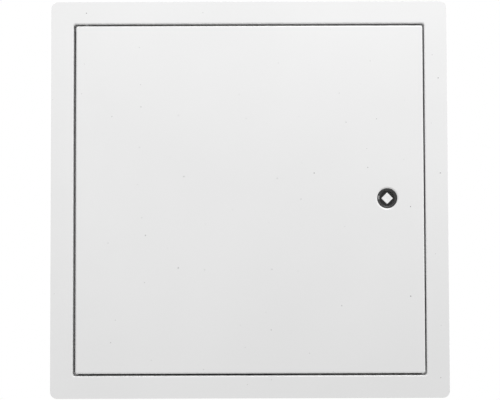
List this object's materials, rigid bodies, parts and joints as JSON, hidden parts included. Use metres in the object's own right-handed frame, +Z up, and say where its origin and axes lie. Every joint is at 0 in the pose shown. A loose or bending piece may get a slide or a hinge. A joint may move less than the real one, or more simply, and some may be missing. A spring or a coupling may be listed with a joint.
{
  "type": "ceiling access panel",
  "caption": "Flush square steel access panel: flanged collar frame, swing-out door on concealed pivot pins, and a square-key quarter-turn lock.",
  "frame": {"origin": "middle of the opening, in the plane of the flange's back face, which bears on the finished ceiling or wall surface", "axes": "upright as in the picture: +X to the lock side, +Z up, +Y into the void behind the panel; the door's face looks along -Y"},
  "size_m": [0.34, 0.041, 0.34],
  "materials": {
    "white_coat": "satin white powder coat",
    "seal_foam": "matt closed-cell foam",
    "galvanised_steel": "spangled galvanised",
    "rivet_aluminium": "plain",
    "zinc_plate": "bright zinc plated",
    "bright_zinc": "bright zinc plated, key square worn bright",
    "black_lock": "satin black coated zinc casting",
    "washer_plastic": "black moulded nylon"
  },
  "bodies": {
    "frame": {"surround_frame": "white_coat", "stop_angle_lock_side": "white_coat", "stop_angle_top": "white_coat", "stop_angle_hinge_side": "white_coat", "stop_angle_bottom": "white_coat", "seal_lock_side": "seal_foam", "seal_top": "seal_foam", "seal_hinge_side": "seal_foam", "seal_bottom": "seal_foam", "fixing_lug_right_upper": "galvanised_steel", "fixing_lug_right_lower": "galvanised_steel", "fixing_lug_left_upper": "galvanised_steel", "fixing_lug_left_lower": "galvanised_steel", "lug_rivets": "rivet_aluminium", "stop_rivets": "rivet_aluminium"},
    "door": {"door_leaf": "white_coat", "pin_guide_bracket": "white_coat", "lower_hinge_pin": "zinc_plate", "thrust_washer": "washer_plastic", "pin_spring": "zinc_plate", "lock_housing": "black_lock", "lock_tooth_washer": "zinc_plate", "lock_nut": "zinc_plate"},
    "release_pin": {"upper_hinge_pin": "zinc_plate", "pin_clip": "zinc_plate"},
    "lock_turner": {"lock_spindle": "bright_zinc", "stop_washer": "zinc_plate", "lock_cam": "zinc_plate", "cam_spring_washer": "zinc_plate", "cam_nut": "zinc_plate"}
  },
  "joints": [
    {"name": "door_swing", "type": "hinge", "parent": "frame", "child": "door", "pos_m": [-0.1398, 0.005, 0], "axis": [0, 0, -1], "range_deg": [0, 120]},
    {"name": "lock_turn", "type": "hinge", "parent": "door", "child": "lock_turner", "pos_m": [0.118, 0, 0], "axis": [0, -1, 0], "range_deg": [0, 90]},
    {"name": "pin_pull", "type": "slide", "parent": "door", "child": "release_pin", "axis": [0, 0, -1], "range_m": [0, 0.006], "stiffness_N_per_m": 400, "springref_m": -0.01, "deforming": ["pin_spring"]}
  ]
}
